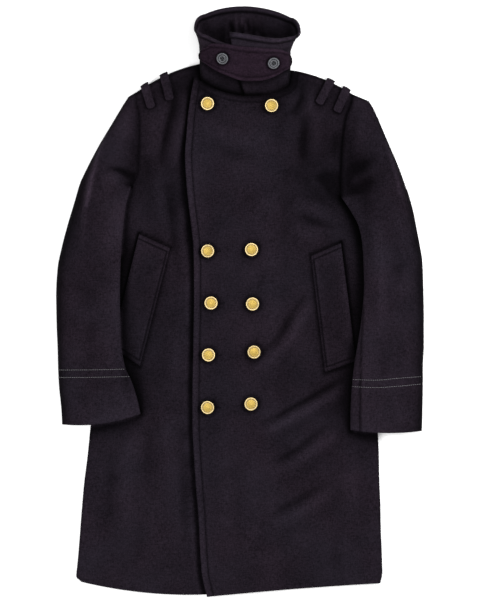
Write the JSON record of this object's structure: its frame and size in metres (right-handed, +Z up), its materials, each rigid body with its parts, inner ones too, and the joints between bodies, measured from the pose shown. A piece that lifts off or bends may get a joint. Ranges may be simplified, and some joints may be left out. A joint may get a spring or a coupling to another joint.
{
  "type": "double-breasted coat",
  "caption": "Long double-breasted wool coat laid flat on its back, with a stand-up collar closed by a throat tab, gold shank buttons, slanted pocket welts and shoulder loops.",
  "frame": {"origin": "centre of the coat's outline, on the surface that it lies on", "axes": "+Z up from the surface, +Y towards the collar, +X towards the wearer's left sleeve"},
  "size_m": [0.736, 1.1822, 0.0586],
  "materials": {
    "wool": "dense brushed wool, near-black navy",
    "wool_back": "dense brushed wool, hidden side",
    "gold": "polished gold-coloured metal",
    "dark_horn": "dark, slightly glossy"
  },
  "bodies": {
    "root": {"back": "wool_back", "front_right": "wool", "front_left": "wool", "sleeve_right_top": "wool", "sleeve_right_under": "wool_back", "sleeve_left_top": "wool", "sleeve_left_under": "wool_back", "collar": "wool", "throat_tab": "wool", "pocket_welt_right": "wool", "pocket_welt_left": "wool", "shoulder_loop_1": "wool", "shoulder_loop_2": "wool", "shoulder_loop_3": "wool", "shoulder_loop_4": "wool", "tab_button_right": "dark_horn", "tab_button_left": "dark_horn", "gold_button_01": "gold", "gold_button_02": "gold", "gold_button_03": "gold", "gold_button_04": "gold", "gold_button_05": "gold", "gold_button_06": "gold", "gold_button_07": "gold", "gold_button_08": "gold", "gold_button_09": "gold", "gold_button_10": "gold"}
  },
  "joints": []
}
